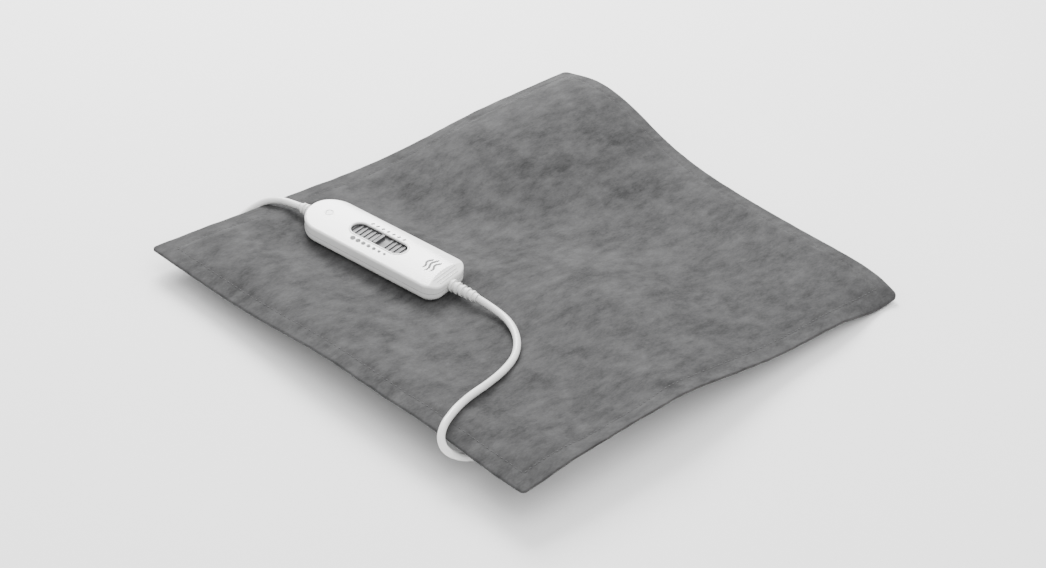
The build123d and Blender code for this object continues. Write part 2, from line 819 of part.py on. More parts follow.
def plug_body():
    """Flat two-pin mains plug, lying on its side."""
    half = plug_width / 2
    outline = make_face(Polyline(
        (-half, -plug_length / 2), (half, -plug_length / 2),
        (half, 2.0), (5.0, plug_length / 2), (-5.0, plug_length / 2), (-half, 2.0), close=True,
    ))
    outline = fillet(outline.vertices(), 3.0)
    body = extrude(outline, plug_height)
    body = fillet(body.faces().sort_by(Axis.Z)[0].edges() + body.faces().sort_by(Axis.Z)[-1].edges(), 1.5)
    body = Pos(plug_x, plug_y, floor_gap) * body
    back = plug_y + plug_length / 2
    neck = rod_y(plug_x, back - 1, back + plug_neck, plug_height / 2 + floor_gap, 7.6)
    for side in (-1, 1):
        x = plug_x + side * plug_pin_spacing / 2
        front = plug_y - plug_length / 2
        body -= rod_y(x, front - 1, front + 8, plug_height / 2 + floor_gap, plug_pin_diameter)
    return body + neck


def plug_pins():
    pins = []
    front = plug_y - plug_length / 2
    for side in (-1, 1):
        x = plug_x + side * plug_pin_spacing / 2
        mid_z = plug_height / 2 + floor_gap
        pins.append(rod_y(x, front - plug_pin_length, front + 8, mid_z, plug_pin_diameter))
    return pins


in_room = (
    top_cover, upper_felt, heating_wire, thermal_cutouts, lower_felt, bottom_cover,
    inlet_backing, inlet_rivets, inlet_body, inlet_pins,
    coupling_body, coupling_contacts, coupling_latch, coupling_strain_relief,
    pad_lead, mains_lead, mains_coil, coil_tie, plug_tail, plug_body, plug_pins,
)
in_control = (
    control_top_shell, control_bottom_shell, slider_knob, slider_carrier, slider_wipers,
    contact_tracks, detent_spring, circuit_board, power_switch, capacitor, fuse, terminal_blocks,
    lead_cores, indicator_lens, shell_screws, relief_pad_side, relief_mains_side,
)


def as_one(made, place=Location()):
    """The solids of a piece at their place, as one compound, whatever shape the piece came in."""
    parts = made if isinstance(made, (list, tuple)) else [made]
    return Compound(children=[solid.moved(place) for part in parts for solid in part.solids()])


os.makedirs("parts", exist_ok=True)
for piece in in_room:
    export_step(as_one(piece()), f"parts/{piece.__name__}.step")
for piece in in_control:
    export_step(as_one(piece(), control_place), f"parts/{piece.__name__}.step")
axis = (control_place * Location((1, 0, 0))).position - control_place.position
print("slider axis", axis, "through", control_point(window_x, 0, slider_z))
print("latch through", inlet_x - inlet_width / 2, latch_y, pin_z, "control base", control_base)
print("inlet bottom", inlet_bottom)
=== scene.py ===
from math import cos, exp, pi, radians, sin, sqrt, tan

import bmesh
import bpy
from mathutils import Matrix, Vector, noise


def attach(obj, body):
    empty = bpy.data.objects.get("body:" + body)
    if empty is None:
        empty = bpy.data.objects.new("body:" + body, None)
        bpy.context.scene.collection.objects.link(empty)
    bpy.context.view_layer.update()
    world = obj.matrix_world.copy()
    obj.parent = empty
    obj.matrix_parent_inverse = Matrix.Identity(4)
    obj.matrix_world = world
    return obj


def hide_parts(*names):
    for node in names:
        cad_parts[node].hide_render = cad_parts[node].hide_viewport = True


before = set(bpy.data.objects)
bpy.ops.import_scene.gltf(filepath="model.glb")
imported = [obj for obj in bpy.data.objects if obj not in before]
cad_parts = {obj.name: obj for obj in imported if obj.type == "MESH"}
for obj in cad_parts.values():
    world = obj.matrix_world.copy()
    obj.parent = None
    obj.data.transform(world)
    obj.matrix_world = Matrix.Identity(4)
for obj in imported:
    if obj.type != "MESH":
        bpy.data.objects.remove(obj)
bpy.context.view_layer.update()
mm = 0.001

# ---------------------------------------------------------------- camera
# The view from the near right, a little over thirty degrees up, with a slight roll.
azimuth, elevation, roll = radians(40.8), radians(33.6), radians(7.0)
target = Vector((0.011, -0.029, 0.0185))
back = Vector((sin(azimuth) * cos(elevation), -cos(azimuth) * cos(elevation), sin(elevation)))
right = (-back).cross(Vector((0, 0, 1))).normalized()
up = right.cross(-back)
rolled_right = cos(roll) * right + sin(roll) * up
rolled_up = -sin(roll) * right + cos(roll) * up
lens = bpy.data.cameras.new("camera")
lens.sensor_width = 36.0
lens.lens = 75.72
camera = bpy.data.objects.new("camera", lens)
turn = Matrix((rolled_right, rolled_up, back)).transposed().to_4x4()
camera.matrix_world = Matrix.Translation(target + 1.60 * back) @ turn
bpy.context.scene.collection.objects.link(camera)
bpy.context.scene.camera = camera


# ---------------------------------------------------------------- cords
# Round white PVC cord, 5.4 mm across. Its surface is smooth and satin, with a faint
# handling tone and the long soft ripple that extruded jackets have.
def grain_group():
    """Uneven tone and height at one scale, which every finish here is built on."""
    group = bpy.data.node_groups.new("surface_grain", "ShaderNodeTree")
    for name, value in (("Scale", 400.0), ("Detail", 4.0), ("Stretch", 1.0)):
        socket = group.interface.new_socket(name, in_out="INPUT", socket_type="NodeSocketFloat")
        socket.default_value = value
    group.interface.new_socket("Tone", in_out="OUTPUT", socket_type="NodeSocketFloat")
    group.interface.new_socket("Height", in_out="OUTPUT", socket_type="NodeSocketFloat")
    nodes, links = group.nodes, group.links
    entry = nodes.new("NodeGroupInput")
    leave = nodes.new("NodeGroupOutput")
    place = nodes.new("ShaderNodeTexCoord")
    stretch = nodes.new("ShaderNodeCombineXYZ")
    stretch.inputs[1].default_value = 1.0
    stretch.inputs[2].default_value = 1.0
    scaled = nodes.new("ShaderNodeVectorMath")
    scaled.operation = "MULTIPLY"
    broad = nodes.new("ShaderNodeTexNoise")
    fine = nodes.new("ShaderNodeTexNoise")
    finer = nodes.new("ShaderNodeMath")
    finer.operation = "MULTIPLY"
    finer.inputs[1].default_value = 6.0
    spread = nodes.new("ShaderNodeMapRange")
    spread.inputs["From Min"].default_value = 0.32
    spread.inputs["From Max"].default_value = 0.68
    links.new(entry.outputs["Stretch"], stretch.inputs[0])
    links.new(place.outputs["Object"], scaled.inputs[0])
    links.new(stretch.outputs[0], scaled.inputs[1])
    links.new(scaled.outputs[0], broad.inputs["Vector"])
    links.new(scaled.outputs[0], fine.inputs["Vector"])
    links.new(entry.outputs["Scale"], broad.inputs["Scale"])
    links.new(entry.outputs["Detail"], broad.inputs["Detail"])
    links.new(entry.outputs["Scale"], finer.inputs[0])
    links.new(finer.outputs[0], fine.inputs["Scale"])
    links.new(broad.outputs["Fac"], spread.inputs["Value"])
    links.new(spread.outputs["Result"], leave.inputs["Tone"])
    links.new(fine.outputs["Fac"], leave.inputs["Height"])
    return group


surface_grain = grain_group()


def finish(name, dark, light, rough=(0.4, 0.5), scale=150.0, depth=0.0001, **sockets):
    """A material whose colour, roughness and relief all vary with the surface grain."""
    material = bpy.data.materials.new(name)
    material.use_nodes = True
    nodes, links = material.node_tree.nodes, material.node_tree.links
    shader = nodes["Principled BSDF"]
    grain = nodes.new("ShaderNodeGroup")
    grain.node_tree = surface_grain
    grain.inputs["Scale"].default_value = scale
    tone = nodes.new("ShaderNodeMix")
    tone.data_type = "RGBA"
    tone.inputs["A"].default_value = (*dark, 1)
    tone.inputs["B"].default_value = (*light, 1)
    gloss = nodes.new("ShaderNodeMapRange")
    gloss.inputs["To Min"].default_value, gloss.inputs["To Max"].default_value = rough
    relief = nodes.new("ShaderNodeBump")
    relief.inputs["Distance"].default_value = depth
    relief.inputs["Strength"].default_value = 0.5
    links.new(grain.outputs["Tone"], tone.inputs["Factor"])
    links.new(tone.outputs["Result"], shader.inputs["Base Color"])
    links.new(grain.outputs["Tone"], gloss.inputs["Value"])
    links.new(gloss.outputs["Result"], shader.inputs["Roughness"])
    links.new(grain.outputs["Height"], relief.inputs["Height"])
    links.new(relief.outputs["Normal"], shader.inputs["Normal"])
    for socket, value in sockets.items():
        shader.inputs[socket.replace("_", " ")].default_value = value
    return material


white_cord = finish("white_cord", (0.70, 0.70, 0.69), (0.80, 0.80, 0.79), (0.30, 0.42), 60.0, 0.00005,
                    Coat_Weight=0.15)


def lay_cord(name, points, diameter):
    """One smooth spline through the bends of a cord's route, given in millimetres."""
    line = bpy.data.curves.new(name, "CURVE")
    line.dimensions = "3D"
    line.resolution_u = 8
    line.bevel_depth = diameter / 2
    line.bevel_resolution = 4
    line.use_fill_caps = True
    spline = line.splines.new("NURBS")
    spline.points.add(len(points) - 1)
    for knot, point in zip(spline.points, points):
        knot.co = (*(Vector(point) * mm), 1.0)
    spline.order_u = 3
    spline.use_endpoint_u = True
    cord = bpy.data.objects.new(name, line)
    bpy.context.scene.collection.objects.link(cord)
    line.materials.append(white_cord)
    return cord


# Lead from the hand control: over the near edge and back under it to the coupling.
cord_diameter = 0.0054
pad_cord_exit = (11.808, -76.583, 25.719)
pad_cord_route = (
    pad_cord_exit,
    (28.0, -74.6, 24.4),
    (47.0, -78.5, 25.1),
    (64.5, -89.0, 25.3),
    (78.0, -105.0, 25.9),
    (86.5, -125.0, 27.6),
    (92.0, -145.5, 29.4),
    (96.0, -165.5, 31.6),
    (101.5, -183.0, 33.9),
    (106.0, -195.0, 34.2),
    (110.0, -205.0, 33.0),
    (114.5, -211.6, 28.4),
    (120.0, -212.4, 22.8),
    (125.5, -207.2, 18.6),
    (129.0, -197.5, 14.6),
    (130.4, -184.0, 12.0),
    (130.0, -169.35, 10.2),
    (130.0, -160.35, 10.2),
)
pad_cord = lay_cord("pad_cord", pad_cord_route, cord_diameter)
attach(pad_cord, "pad")
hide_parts("pad_lead")

# Mains cord: over the left edge, round behind it and back under the pad, wound up there
# in two columns of turns under a twist tie, with a short end to the plug.
mains_cord_exit = (-155.549, -98.616, 25.719)
mains_cord_start = (
    mains_cord_exit,
    (-166.0, -99.4, 24.0),
    (-176.3, -102.2, 22.6),
    (-184.4, -107.4, 20.0),
    (-190.0, -115.0, 14.6),
    (-191.8, -125.5, 8.8),
    (-191.5, -140.0, 4.2),
    (-189.5, -165.0, 2.9),
    (-171.9, -182.6, 2.9),
    (-147.0, -182.6, 2.9),
    (-129.4, -165.0, 2.9),
    (-131.0, -140.0, 2.9),
    (-139.0, -116.0, 2.9),
    (-149.5, -91.0, 2.9),
    (-157.0, -62.0, 2.9),
    (-159.5, -28.0, 2.9),
    (-159.0, 12.0, 3.2),
    (-160.5, 58.0, 4.2),
    (-165.5, 100.0, 5.8),
    (-171.5, 130.0, 8.0),
    (-176.3, 146.0, 13.0),
    (-177.0, 162.0, 18.6),
    (-170.5, 178.0, 19.6),
    (-159.0, 188.5, 17.2),
)
coil_middle = (-140.0, 165.0)
inner_turn, outer_turn = 27.2, 32.75
turn_heights = (13.8, 8.35, 2.9)
steps_per_turn = 18
coil_turns = 5.28


def ramp(value, start, end):
    """0 before start, 1 after end and an even rise between them."""
    return min(1.0, max(0.0, (value - start) / (end - start)))


def coil_point(turns):
    """Place on the coil after so many turns: down the inner column, then up the outer one."""
    fall = ramp(turns, 0.83, 1.0) + ramp(turns, 1.83, 2.0)
    rise = ramp(turns, 3.5, 3.67) + ramp(turns, 4.5, 4.67)
    height = turn_heights[0] + (turn_heights[2] - turn_heights[0]) * (fall - rise) / 2
    radius = inner_turn + (outer_turn - inner_turn) * ramp(turns, 2.67, 2.83)
    radius /= 0.25 * cos(2 * pi / steps_per_turn) + 0.75
    angle = radians(100.0) - 2 * pi * turns
    return (coil_middle[0] + radius * cos(angle), coil_middle[1] + radius * sin(angle), height)


coil_route = []
for step in range(round(coil_turns * steps_per_turn) + 1):
    coil_route.append(coil_point(step / steps_per_turn))
plug_end_route = (
    (-106.5, 151.0, 12.6),
    (-107.5, 137.0, 9.6),
    (-112.5, 124.5, 7.6),
    (-121.5, 114.5, 7.05),
    (-126.6, 106.0, 7.05),
    (-127.0, 98.0, 7.05),
)
mains_route = [*mains_cord_start, *coil_route, *plug_end_route]
mains_cord = lay_cord("mains_cord", mains_route, cord_diameter)
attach(mains_cord, "pad")
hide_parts("mains_lead", "mains_coil", "plug_tail")


# ---------------------------------------------------------------- sleeve behind the plug
# Tapered PVC sleeve moulded to the plug and the cord, so that the cord never bends
# sharply where it leaves the plug. Its grooves let it flex.
def read_line(cord):
    """Points along the middle of a cord."""
    bare = bpy.data.objects.new("bare_line", cord.data.copy())
    bare.data.bevel_depth = 0.0
    mesh = bpy.data.meshes.new_from_object(bare)
    points = [vertex.co.copy() for vertex in mesh.vertices]
    bpy.data.meshes.remove(mesh)
    bpy.data.curves.remove(bare.data)
    return points


def add_piece(name, shape, material, body="pad", smooth=True):
    """A finished mesh as an object of its own that rides on a body."""
    mesh = bpy.data.meshes.new(name)
    shape.to_mesh(mesh)
    shape.free()
    mesh.materials.append(material)
    if smooth:
        mesh.shade_smooth()
    piece = bpy.data.objects.new(name, mesh)
    bpy.context.scene.collection.objects.link(piece)
    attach(piece, body)
    return piece


def sleeve_along(points, start, length, wide, narrow, rings):
    """Tapered sleeve round a line of points, from start along it, with rings of grooves."""
    shape = bmesh.new()
    places = [points[0]]
    for before, after in zip(points, points[1:]):
        steps = max(1, round((after - before).length / 0.0005))
        places += [before.lerp(after, (k + 1) / steps) for k in range(steps)]
    run = 0.0
    loops = []
    for before, after in zip(places, places[1:]):
        run += (after - before).length
        share = (run - start) / length
        if not 0.0 <= share <= 1.0:
            continue
        along = (after - before).normalized()
        side = along.cross(Vector((0, 0, 1))).normalized()
        lift = side.cross(along)
        radius = (wide + (narrow - wide) * share) / 2
        if rings:
            radius -= 0.0005 * (1 - share) * max(0.0, cos(2 * pi * rings * share)) ** 4
        turn = Matrix((side, lift, along)).transposed().to_4x4()
        made = bmesh.ops.create_circle(shape, segments=24, radius=radius,
                                       matrix=Matrix.Translation(after) @ turn)
        loops.append(made["verts"])
    for one, two in zip(loops, loops[1:]):
        edges = {edge for vertex in (*one, *two) for edge in vertex.link_edges if not edge.link_faces
                 or edge.is_boundary}
        bmesh.ops.bridge_loops(shape, edges=[e for e in edges if all(v in one for v in e.verts)
                                             or all(v in two for v in e.verts)])
    for loop in (loops[0], loops[-1]):
        bmesh.ops.contextual_create(shape, geom=loop)
    bmesh.ops.recalc_face_normals(shape, faces=shape.faces)
    return shape


plug_line = list(reversed(read_line(mains_cord)))
plug_sleeve = add_piece("plug_sleeve", sleeve_along(plug_line, 0.0002, 0.026, 0.0076, 0.0058, 6),
                        white_cord)

# ---------------------------------------------------------------- padded body
# Two layers of brushed microfibre plush over a thin felt filling and the heating wire,
# sewn together all round. It lies in soft folds, and its nap is brushed unevenly.
pad_width, pad_length = 367.0, 420.0
corner_radius = 4.0
edge_roll = 14.0
stitch_inset = 12.5
fold_level = 17.4
folds = (
    (-135.0, 225.0, 45.0, 18.5),
    (-125.0, 125.0, 55.0, 18.0),
    (-115.0, -40.0, 35.0, -7.5),
    (-75.0, -95.0, 45.0, 3.5),
    (5.0, -215.0, 50.0, 9.5),
    (100.0, -215.0, 40.0, 8.0),
    (50.0, 5.0, 60.0, 26.0),
    (30.0, 40.0, 100.0, -26.5),
    (20.0, 105.0, 50.0, 3.0),
    (-122.0, 58.0, 26.0, 5.0),
    (265.0, -85.0, 85.0, 32.0),
    (220.0, 190.0, 30.0, -29.0),
)


def level_patch(x, y, middle, half, lean):
    """Weight of a level patch of the pad, and the distance across it."""
    dx, dy = x - middle[0], y - middle[1]
    along = dx * cos(radians(lean)) + dy * sin(radians(lean))
    across = -dx * sin(radians(lean)) + dy * cos(radians(lean))
    return exp(-((along / half[0]) ** 4 + (across / half[1]) ** 4)), across


def seam_height(x, y):
    """Height of the sewn middle layer, and how level it is pressed."""
    z = fold_level
    for fold_x, fold_y, spread, height in folds:
        z += height * exp(-((x - fold_x) ** 2 + (y - fold_y) ** 2) / (2 * spread ** 2))
    control_weight, across = level_patch(x, y, (-78.4, -87.8), (94.5, 49.0), 7.5)
    z += control_weight * (12.3 + tan(radians(5.0)) * across - z)
    inlet_weight, across = level_patch(x, y, (130.0, -108.0), (49.0, 46.0), 0.0)
    z += inlet_weight * (21.5 - z)
    return z, max(control_weight, inlet_weight)


def edge_place(step, steps, size):
    """Distance from the middle for one grid line: close lines near the sewn edge."""
    close, near = 15, 20.0
    if step <= close:
        return -size / 2 + near * step / close
    if step >= steps - close:
        return size / 2 - near * (steps - step) / close
    return -size / 2 + near + (size - 2 * near) * (step - close) / (steps - 2 * close)


def pad_point(x, y, side):
    """A point of the pad's top or underside for a place on the flat pad."""
    u, v = 2 * x / pad_width, 2 * y / pad_length
    from_side = (1 - abs(u)) * pad_width / 2
    from_end = (1 - abs(v)) * pad_length / 2
    full = (1 - exp(-((from_side / edge_roll) ** 2))) * (1 - exp(-((from_end / edge_roll) ** 2)))
    corner_x = max(0.0, 1 - from_side / corner_radius)
    corner_y = max(0.0, 1 - from_end / corner_radius)
    out_x = corner_radius * (corner_x * sqrt(1 - corner_y ** 2 / 2) - corner_x)
    out_y = corner_radius * (corner_y * sqrt(1 - corner_x ** 2 / 2) - corner_y)
    place_x = x + out_x * (1 if u > 0 else -1) - 2.4 * u * v
    place_y = y + out_y * (1 if v > 0 else -1) - 4.0 * u * v
    inside = min(from_side, from_end)
    z, pressed = seam_height(place_x, place_y)
    lift = 1.1 + (0.25 + (3.8 if side > 0 else 3.3)) * full
    lift -= 0.38 * exp(-(((inside - stitch_inset) / 1.5) ** 2))
    lift -= 0.45 * exp(-((inside / 1.2) ** 2))
    spot = Vector((place_x, place_y, 40.0 * side))
    soft = 1 - pressed
    wave = 0.42 * noise.noise(spot / 24.0) + 0.20 * noise.noise(spot / 9.0)
    pucker = 0.34 * noise.noise(spot / 5.0) * exp(-(((inside - stitch_inset) / 6.0) ** 2))
    lift += (wave * full + pucker) * soft
    fray = 0.5 * noise.noise(Vector((place_x, place_y, 0.0)) / 13.0) * exp(-inside / 3.0)
    place_x += fray * (1 if u > 0 else -1) * (from_side < from_end)
    place_y += fray * (1 if v > 0 else -1) * (from_end <= from_side)
    return Vector((place_x, place_y, z + side * lift)) * mm


def pad_shape():
    """Closed pad: a top and an underside of the same grid, joined at the sewn edge."""
    columns, rows = 150, 170
    shape = bmesh.new()
    for side in (1, -1):
        made = bmesh.ops.create_grid(shape, x_segments=columns, y_segments=rows, size=1.0)
        for vertex in made["verts"]:
            step_x = round((vertex.co.x + 1) / 2 * columns)
            step_y = round((vertex.co.y + 1) / 2 * rows)
            x = edge_place(step_x, columns, pad_width)
            y = edge_place(step_y, rows, pad_length)
            vertex.co = pad_point(x, y, side)
    rim = [edge for edge in shape.edges if edge.is_boundary]
    bmesh.ops.bridge_loops(shape, edges=rim)
    bmesh.ops.recalc_face_normals(shape, faces=shape.faces)
    return shape


def plush_finish():
    """Grey brushed nap: broad clouds, short brush streaks and single fibres."""
    material = bpy.data.materials.new("grey_plush")
    material.use_nodes = True
    nodes, links = material.node_tree.nodes, material.node_tree.links
    shader = nodes["Principled BSDF"]
    place = nodes.new("ShaderNodeTexCoord")
    brushed = nodes.new("ShaderNodeMapping")
    brushed.inputs["Rotation"].default_value = (0.0, 0.0, radians(35.0))
    brushed.inputs["Scale"].default_value = (1.0, 0.38, 1.0)
    links.new(place.outputs["Object"], brushed.inputs["Vector"])
    layers = []
    for name, source, scale, detail in (
        ("clouds", "Object", 34.0, 8.0),
        ("streaks", "brushed", 150.0, 7.0),
        ("fibres", "brushed", 900.0, 4.0),
    ):
        layer = nodes.new("ShaderNodeTexNoise")
        layer.name = name
        layer.inputs["Scale"].default_value = scale
        layer.inputs["Detail"].default_value = detail
        layer.inputs["Roughness"].default_value = 0.62
        vector = place.outputs["Object"] if source == "Object" else brushed.outputs["Vector"]
        links.new(vector, layer.inputs["Vector"])
        layers.append(layer)
    total = None
    for layer, share in zip(layers, (0.42, 0.38, 0.20)):
        weigh = nodes.new("ShaderNodeMath")
        weigh.operation = "MULTIPLY_ADD"
        weigh.inputs[1].default_value = share
        weigh.inputs[2].default_value = 0.0
        links.new(layer.outputs["Fac"], weigh.inputs[0])
        if total is not None:
            links.new(total.outputs[0], weigh.inputs[2])
        total = weigh
    tone_ramp = nodes.new("ShaderNodeValToRGB")
    tone_ramp.color_ramp.elements[0].position = 0.38
    tone_ramp.color_ramp.elements[0].color = (0.025, 0.025, 0.0255, 1)
    tone_ramp.color_ramp.elements[1].position = 0.62
    tone_ramp.color_ramp.elements[1].color = (0.074, 0.074, 0.0748, 1)
    links.new(total.outputs[0], tone_ramp.inputs["Fac"])
    links.new(tone_ramp.outputs["Color"], shader.inputs["Base Color"])
    rough = nodes.new("ShaderNodeMapRange")
    rough.inputs["To Min"].default_value = 0.86
    rough.inputs["To Max"].default_value = 1.0
    links.new(layers[1].outputs["Fac"], rough.inputs["Value"])
    links.new(rough.outputs["Result"], shader.inputs["Roughness"])
    relief = nodes.new("ShaderNodeBump")
    relief.inputs["Distance"].default_value = 0.0011
    relief.inputs["Strength"].default_value = 0.8
    links.new(total.outputs[0], relief.inputs["Height"])
    links.new(relief.outputs["Normal"], shader.inputs["Normal"])
    shader.inputs["Sheen Weight"].default_value = 0.08
    shader.inputs["Sheen Roughness"].default_value = 0.45
    shader.inputs["Sheen Tint"].default_value = (0.85, 0.85, 0.86, 1)
    shader.inputs["Specular IOR Level"].default_value = 0.15
    return material


grey_plush = plush_finish()
pad_cloth = add_piece("pad_cloth", pad_shape(), grey_plush)
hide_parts("top_cover", "bottom_cover")

# ---------------------------------------------------------------- top-stitching
# One row of grey polyester thread all round, which holds both covers together inside
# the sewn edge. Each stitch is short and sinks a little into the nap.
grey_thread = finish("grey_thread", (0.046, 0.046, 0.047), (0.08, 0.08, 0.081), (0.8, 0.95), 2000.0, 0.0001)


def stitch_row(side):
    """Stitches round the pad on its top or its underside."""
    shape = bmesh.new()
    half_x, half_y = pad_width / 2 - stitch_inset, pad_length / 2 - stitch_inset
    pitch, thread = 4.2, 0.42
    lines = (
        ((-half_x, -half_y), (half_x, -half_y)),
        ((half_x, -half_y), (half_x, half_y)),
        ((half_x, half_y), (-half_x, half_y)),
        ((-half_x, half_y), (-half_x, -half_y)),
    )
    for start, end in lines:
        run = Vector(end) - Vector(start)
        count = round(run.length / pitch)
        for step in range(count):
            spots = []
            for share in (0.14, 0.86):
                flat = Vector(start) + run * ((step + share) / count)
                spots.append(pad_point(flat.x, flat.y, side))
            along = (spots[1] - spots[0]).normalized()
            turn = along.to_track_quat("Z", "Y").to_matrix().to_4x4()
            middle = (spots[0] + spots[1]) / 2
            size = Matrix.Diagonal((thread * mm, thread * mm, (spots[1] - spots[0]).length / 2, 1))
            bmesh.ops.create_uvsphere(shape, u_segments=6, v_segments=4, radius=1.0,
                                      matrix=Matrix.Translation(middle) @ turn @ size)
    return shape


top_stitching = add_piece("top_stitching", stitch_row(1), grey_thread)
under_stitching = add_piece("under_stitching", stitch_row(-1), grey_thread)

# ---------------------------------------------------------------- hand control shells
# Two white ABS shells, polished in the mould and screwed together from below. Painted
# shade marks the parting line round them, and their sloping right end has three shallow ribs.
control = Matrix.Translation((-0.0784, -0.0878, 0.01825))
control = control @ Matrix.Rotation(radians(7.5), 4, "Z") @ Matrix.Rotation(radians(5.0), 4, "X")
control_height, crown_radius = 16.0, 110.0
gloss_white = finish("gloss_white_shell", (0.78, 0.78, 0.77), (0.84, 0.84, 0.83), (0.16, 0.26), 25.0,
                     0.00002, Coat_Weight=0.4, Coat_Roughness=0.12)
# Dark grey for the parting line: painted shade in the seam between the shells.
parting_painted_shade = finish("parting_shadow", (0.22, 0.22, 0.22), (0.32, 0.32, 0.32), (0.6, 0.8), 300.0, 0.00005)


def crown_z(y):
    """Height of the crowned top of the control at a distance across it."""
    return control_height - crown_radius + sqrt(crown_radius ** 2 - y ** 2)


def parting_line_shade():
    """Hair-thin dark plate between the shells: painted shade that shows as a line round them."""
    shape = bmesh.new()
    bmesh.ops.create_grid(shape, x_segments=1, y_segments=1, size=0.5)
    bmesh.ops.scale(shape, vec=(133.16, 42.16, 1), verts=shape.verts)
    left_corner, right_corner = 20.0, 11.0
    for side, radius in ((-1, left_corner), (1, right_corner)):
        corners = [v for v in shape.verts if v.co.x * side > 60]
        bmesh.ops.bevel(shape, geom=corners, offset=radius, segments=14, affect="VERTICES", profile=0.5,
                        material=-1)
    made = bmesh.ops.extrude_face_region(shape, geom=shape.faces[:])
    raised = [g for g in made["geom"] if isinstance(g, bmesh.types.BMVert)]
    bmesh.ops.translate(shape, vec=(0, 0, 0.22), verts=raised)
    bmesh.ops.translate(shape, vec=(0, 0, 7.39), verts=shape.verts)
    bmesh.ops.recalc_face_normals(shape, faces=shape.faces)
    bmesh.ops.scale(shape, vec=(mm, mm, mm), verts=shape.verts)
    bmesh.ops.transform(shape, matrix=control, verts=shape.verts)
    return shape


def end_ribs():
    """Three shallow ribs across the sloping right end."""
    shape = bmesh.new()
    for x in (59.6, 61.8, 64.0):
        z = control_height - 3.8 * (x - 57.5) / 9.0
        lean = Matrix.Translation((x, 0, z - 0.12)) @ Matrix.Rotation(0.4, 4, "Y")
        rib = Matrix.Diagonal((0.6, 26.0 - 1.2 * (x - 59), 0.9, 1))
        bmesh.ops.create_cube(shape, size=1.0, matrix=lean @ rib)
    bmesh.ops.bevel(shape, geom=shape.edges[:], offset=0.14, segments=2, affect="EDGES", profile=0.5,
                    material=-1)
    bmesh.ops.scale(shape, vec=(mm, mm, mm), verts=shape.verts)
    bmesh.ops.transform(shape, matrix=control, verts=shape.verts)
    return shape


# Thin dark plate round the shells: painted shade along the parting line.
add_piece("control_parting_line", parting_line_shade(), parting_painted_shade, smooth=False)
add_piece("control_end_ribs", end_ribs(), gloss_white)

# ---------------------------------------------------------------- window rim
# Raised bevelled rim moulded round the slider's window.
window_x, window_length, window_width = -1.5, 50.0, 14.5


def window_rim():
    """Ring round the window: up its wall, over a soft crest and down to the shell."""
    shape = bmesh.new()
    loops = []
    for reach, rise in ((0.05, -1.7), (0.05, -0.1), (0.45, 0.32), (0.95, 0.34), (1.7, 0.05), (1.9, -0.5)):
        radius = window_width / 2 - 0.2 + reach
        made = bmesh.ops.create_circle(shape, segments=64, radius=radius,
                                       matrix=Matrix.Rotation(radians(180.0 / 64), 4, "Z"))
        for vertex in made["verts"]:
            shift = (window_length - window_width) / 2
            vertex.co.x += window_x + (shift if vertex.co.x > 0 else -shift)
            vertex.co.z = crown_z(vertex.co.y) + rise
        loops.append(made["verts"])
    for one, two in zip(loops, (*loops[1:], loops[0])):
        edges = [e for e in shape.edges if set(e.verts) <= set(one) or set(e.verts) <= set(two)]
        bmesh.ops.bridge_loops(shape, edges=edges)
    bmesh.ops.recalc_face_normals(shape, faces=shape.faces)
    bmesh.ops.scale(shape, vec=(mm, mm, mm), verts=shape.verts)
    bmesh.ops.transform(shape, matrix=control, verts=shape.verts)
    return shape


add_piece("window_rim", window_rim(), gloss_white)

# ---------------------------------------------------------------- printed marks
# Dark grey pad printing: seven settings as ticks on the far side and as dots that grow on
# the near side, and a plain mark of three warm-air waves near the right end.
print_grey = finish("print_grey", (0.02, 0.02, 0.021), (0.04, 0.04, 0.041), (0.45, 0.6), 500.0, 0.00003)


def setting_marks():
    """Ticks and dots beside the seven positions of the slider."""
    shape = bmesh.new()
    for step in range(-3, 4):
        x = window_x + 5.0 * step
        far = window_width / 2 + 3.4
        lean = Matrix.Rotation(-far / 110, 4, "X") @ Matrix.Rotation(-0.5, 4, "Z")
        bmesh.ops.create_cube(shape, size=1.0, matrix=Matrix.Translation((x, far, crown_z(far))) @ lean
                              @ Matrix.Diagonal((1.3, 2.6, 0.44, 1)))
        near = -window_width / 2 - 4.6
        size = 2.05 - 0.17 * (step + 3)
        flat = Matrix.Translation((x, near, crown_z(near))) @ Matrix.Rotation(-near / 110, 4, "X")
        bmesh.ops.create_cone(shape, cap_ends=True, segments=20, radius1=size, radius2=size, depth=0.44,
                              matrix=flat)
    bmesh.ops.scale(shape, vec=(mm, mm, mm), verts=shape.verts)
    bmesh.ops.transform(shape, matrix=control, verts=shape.verts)
    return shape


def warm_air_mark():
    """Three upright waves, side by side."""
    shape = bmesh.new()
    for column, length in ((-3.6, 12.5), (0.0, 16.0), (3.6, 12.5)):
        places = []
        for step in range(19):
            share = step / 18
            y = length * (share - 0.5)
            x = 47.5 + column + 1.0 * sin(2 * pi * share * 1.25)
            wide = 0.72 * (1 - (2 * share - 1) ** 4) + 0.10
            place = Matrix.Translation((x, y, crown_z(y))) @ Matrix.Diagonal((wide, 0.3, 0.24, 1))
            places.append(place)
        for place, following in zip(places, places[1:]):
            middle = (place.translation + following.translation) / 2
            run = following.translation - place.translation
            lean = Matrix.Rotation(-run.x / max(run.y, 0.1), 4, "Z")
            bmesh.ops.create_cube(shape, size=1.0, matrix=Matrix.Translation(middle) @ lean
                                  @ Matrix.Diagonal((2 * place[0][0], run.length * 1.15, 0.44, 1)))
    bmesh.ops.scale(shape, vec=(mm, mm, mm), verts=shape.verts)
    bmesh.ops.transform(shape, matrix=control, verts=shape.verts)
    return shape


add_piece("setting_marks", setting_marks(), print_grey, smooth=False)
add_piece("warm_air_mark", warm_air_mark(), finish("print_pale", (0.03, 0.03, 0.03), (0.06, 0.06, 0.06),
                                                   (0.45, 0.6), 500.0, 0.00003), smooth=False)

